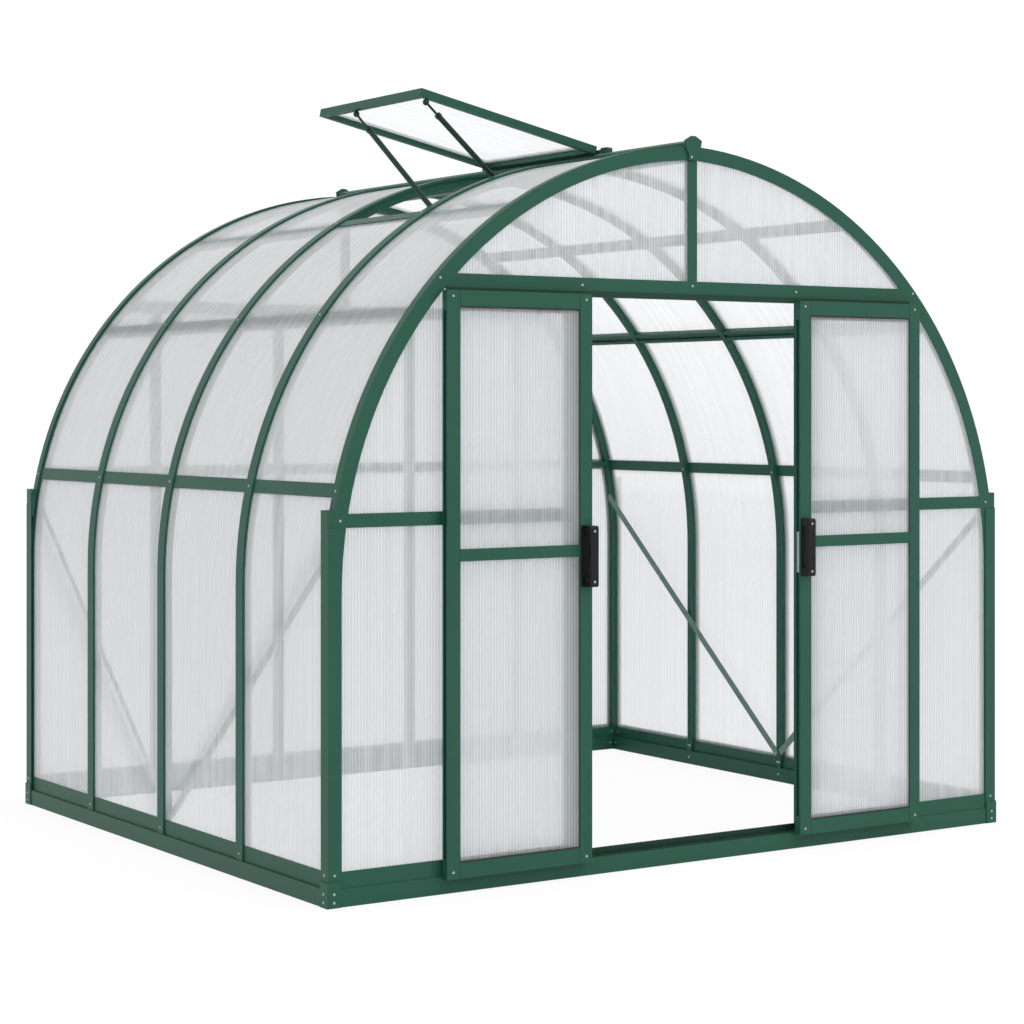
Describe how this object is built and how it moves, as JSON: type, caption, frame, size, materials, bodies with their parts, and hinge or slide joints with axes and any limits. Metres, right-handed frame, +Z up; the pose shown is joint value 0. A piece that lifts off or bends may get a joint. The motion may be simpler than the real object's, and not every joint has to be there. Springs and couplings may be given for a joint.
{
  "type": "arched polycarbonate greenhouse with sliding doors",
  "caption": "Walk-in arched greenhouse: green aluminium frame, twin-wall polycarbonate sheets, sliding double doors and an open roof vent.",
  "frame": {"origin": "centre of the whole object's box on the ground, in line with the ridge", "axes": "+X across the front to the right, +Y from the door front to the back, +Z up"},
  "size_m": [2.606, 2.273, 2.4152],
  "materials": {
    "green_aluminium": "dark green powder coat, satin",
    "dark_green_metal": "dark green powder coat, in shade",
    "polycarbonate": "clear twin-wall polycarbonate with fine flutes",
    "handle_plastic": "black moulded plastic"
  },
  "bodies": {
    "house": {"base_front": "green_aluminium", "base_back": "green_aluminium", "base_left": "green_aluminium", "base_right": "green_aluminium", "corner_plates": "green_aluminium", "corner_sleeves": "green_aluminium", "front_arch": "green_aluminium", "rib_1": "green_aluminium", "rib_2": "green_aluminium", "rib_3": "green_aluminium", "back_arch": "green_aluminium", "ridge_beam": "green_aluminium", "ridge_caps": "green_aluminium", "eave_rail_left": "green_aluminium", "eave_rail_right": "green_aluminium", "roof_bars_left": "green_aluminium", "roof_bars_right": "green_aluminium", "bottom_rail_left": "green_aluminium", "bottom_rail_right": "green_aluminium", "side_braces_left": "green_aluminium", "side_braces_right": "green_aluminium", "header_beam": "green_aluminium", "door_posts": "green_aluminium", "gable_mullion": "green_aluminium", "front_rails": "green_aluminium", "door_sill": "dark_green_metal", "door_track": "dark_green_metal", "back_posts": "green_aluminium", "back_rails": "green_aluminium", "wall_sheets_left": "polycarbonate", "wall_sheets_right": "polycarbonate", "roof_sheets_left": "polycarbonate", "roof_sheets_right": "polycarbonate", "front_sheets": "polycarbonate", "back_sheets": "polycarbonate", "vent_frame": "green_aluminium", "vent_sheet": "polycarbonate", "vent_sill": "green_aluminium", "vent_stays": "dark_green_metal"},
    "door_left": {"door_left_frame": "green_aluminium", "door_left_sheets": "polycarbonate", "door_left_handle": "handle_plastic"},
    "door_right": {"door_right_frame": "green_aluminium", "door_right_sheets": "polycarbonate", "door_right_handle": "handle_plastic"}
  },
  "joints": [
    {"name": "door_left_slide", "type": "slide", "parent": "house", "child": "door_left", "axis": [1, 0, 0], "range_m": [0, 0.4055]},
    {"name": "door_right_slide", "type": "slide", "parent": "house", "child": "door_right", "axis": [-1, 0, 0], "range_m": [0, 0.4055]}
  ]
}
